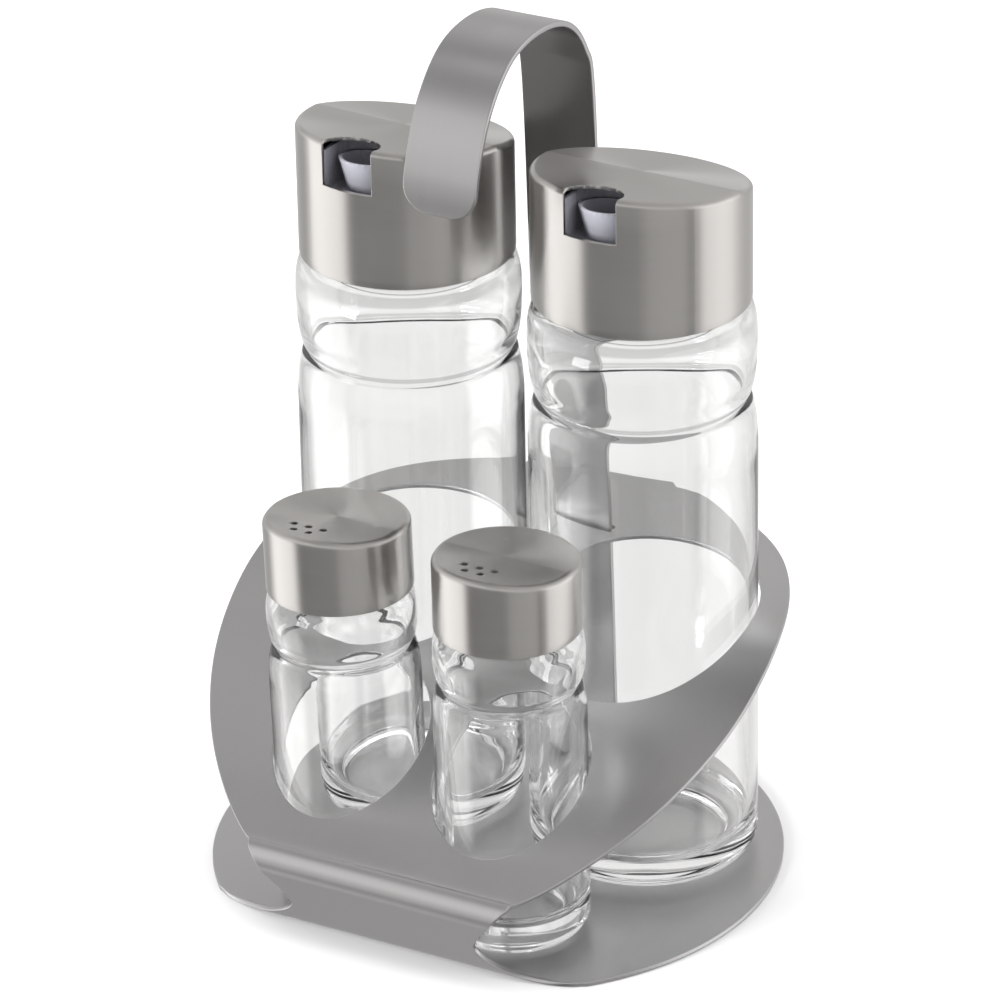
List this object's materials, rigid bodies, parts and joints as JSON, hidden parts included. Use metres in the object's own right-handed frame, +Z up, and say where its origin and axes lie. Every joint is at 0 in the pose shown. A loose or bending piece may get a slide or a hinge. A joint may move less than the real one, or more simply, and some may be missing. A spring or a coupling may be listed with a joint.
{
  "type": "cruet set",
  "caption": "Folded steel table stand with a strap handle, holding oil and vinegar cruets and salt and pepper shakers that lift out.",
  "frame": {"origin": "on the table, under the middle of the set's bounding box", "axes": "+Z up, +X to the set's right, +Y to the rear where the strap stands; the low folded edge and the pouring windows face -Y"},
  "size_m": [0.1384, 0.132, 0.2098],
  "materials": {
    "stand_steel": "satin stainless sheet, fine grain along the length",
    "strap_steel": "satin stainless strap, grain along the strap",
    "cap_steel": "satin stainless, grain around the cap",
    "bottle_glass": "clear pressed glass with a soft waist",
    "pourer_plastic": "smoky grey moulded plastic",
    "collar_plastic": "natural white moulded plastic",
    "seal_silicone": "translucent silicone"
  },
  "bodies": {
    "stand": {"stand_sheet": "stand_steel", "handle_strap": "strap_steel"},
    "cruet_left": {"cruet_bottle_left": "bottle_glass"},
    "cruet_left_closure": {"cruet_cap_left": "cap_steel", "cruet_pourer_left": "pourer_plastic", "cruet_seal_left": "seal_silicone"},
    "shaker_left": {"shaker_jar_left": "bottle_glass"},
    "shaker_left_closure": {"shaker_cap_left": "cap_steel", "shaker_collar_left": "collar_plastic", "shaker_seal_left": "seal_silicone"},
    "cruet_right": {"cruet_bottle_right": "bottle_glass"},
    "cruet_right_closure": {"cruet_cap_right": "cap_steel", "cruet_pourer_right": "pourer_plastic", "cruet_seal_right": "seal_silicone"},
    "shaker_right": {"shaker_jar_right": "bottle_glass"},
    "shaker_right_closure": {"shaker_cap_right": "cap_steel", "shaker_collar_right": "collar_plastic", "shaker_seal_right": "seal_silicone"}
  },
  "joints": [
    {"name": "cruet_left_lift", "type": "slide", "parent": "stand", "child": "cruet_left", "axis": [0, 0, 1], "range_m": [0, 0.012]},
    {"name": "cruet_left_cap_off", "type": "slide", "parent": "cruet_left", "child": "cruet_left_closure", "axis": [0, 0, 1], "range_m": [0, 0.014]},
    {"name": "shaker_left_lift", "type": "slide", "parent": "stand", "child": "shaker_left", "axis": [0, 0, 1], "range_m": [0, 0.052]},
    {"name": "shaker_left_cap_off", "type": "slide", "parent": "shaker_left", "child": "shaker_left_closure", "axis": [0, 0, 1], "range_m": [0, 0.018]},
    {"name": "cruet_right_lift", "type": "slide", "parent": "stand", "child": "cruet_right", "axis": [0, 0, 1], "range_m": [0, 0.012]},
    {"name": "cruet_right_cap_off", "type": "slide", "parent": "cruet_right", "child": "cruet_right_closure", "axis": [0, 0, 1], "range_m": [0, 0.014]},
    {"name": "shaker_right_lift", "type": "slide", "parent": "stand", "child": "shaker_right", "axis": [0, 0, 1], "range_m": [0, 0.052]},
    {"name": "shaker_right_cap_off", "type": "slide", "parent": "shaker_right", "child": "shaker_right_closure", "axis": [0, 0, 1], "range_m": [0, 0.018]}
  ]
}
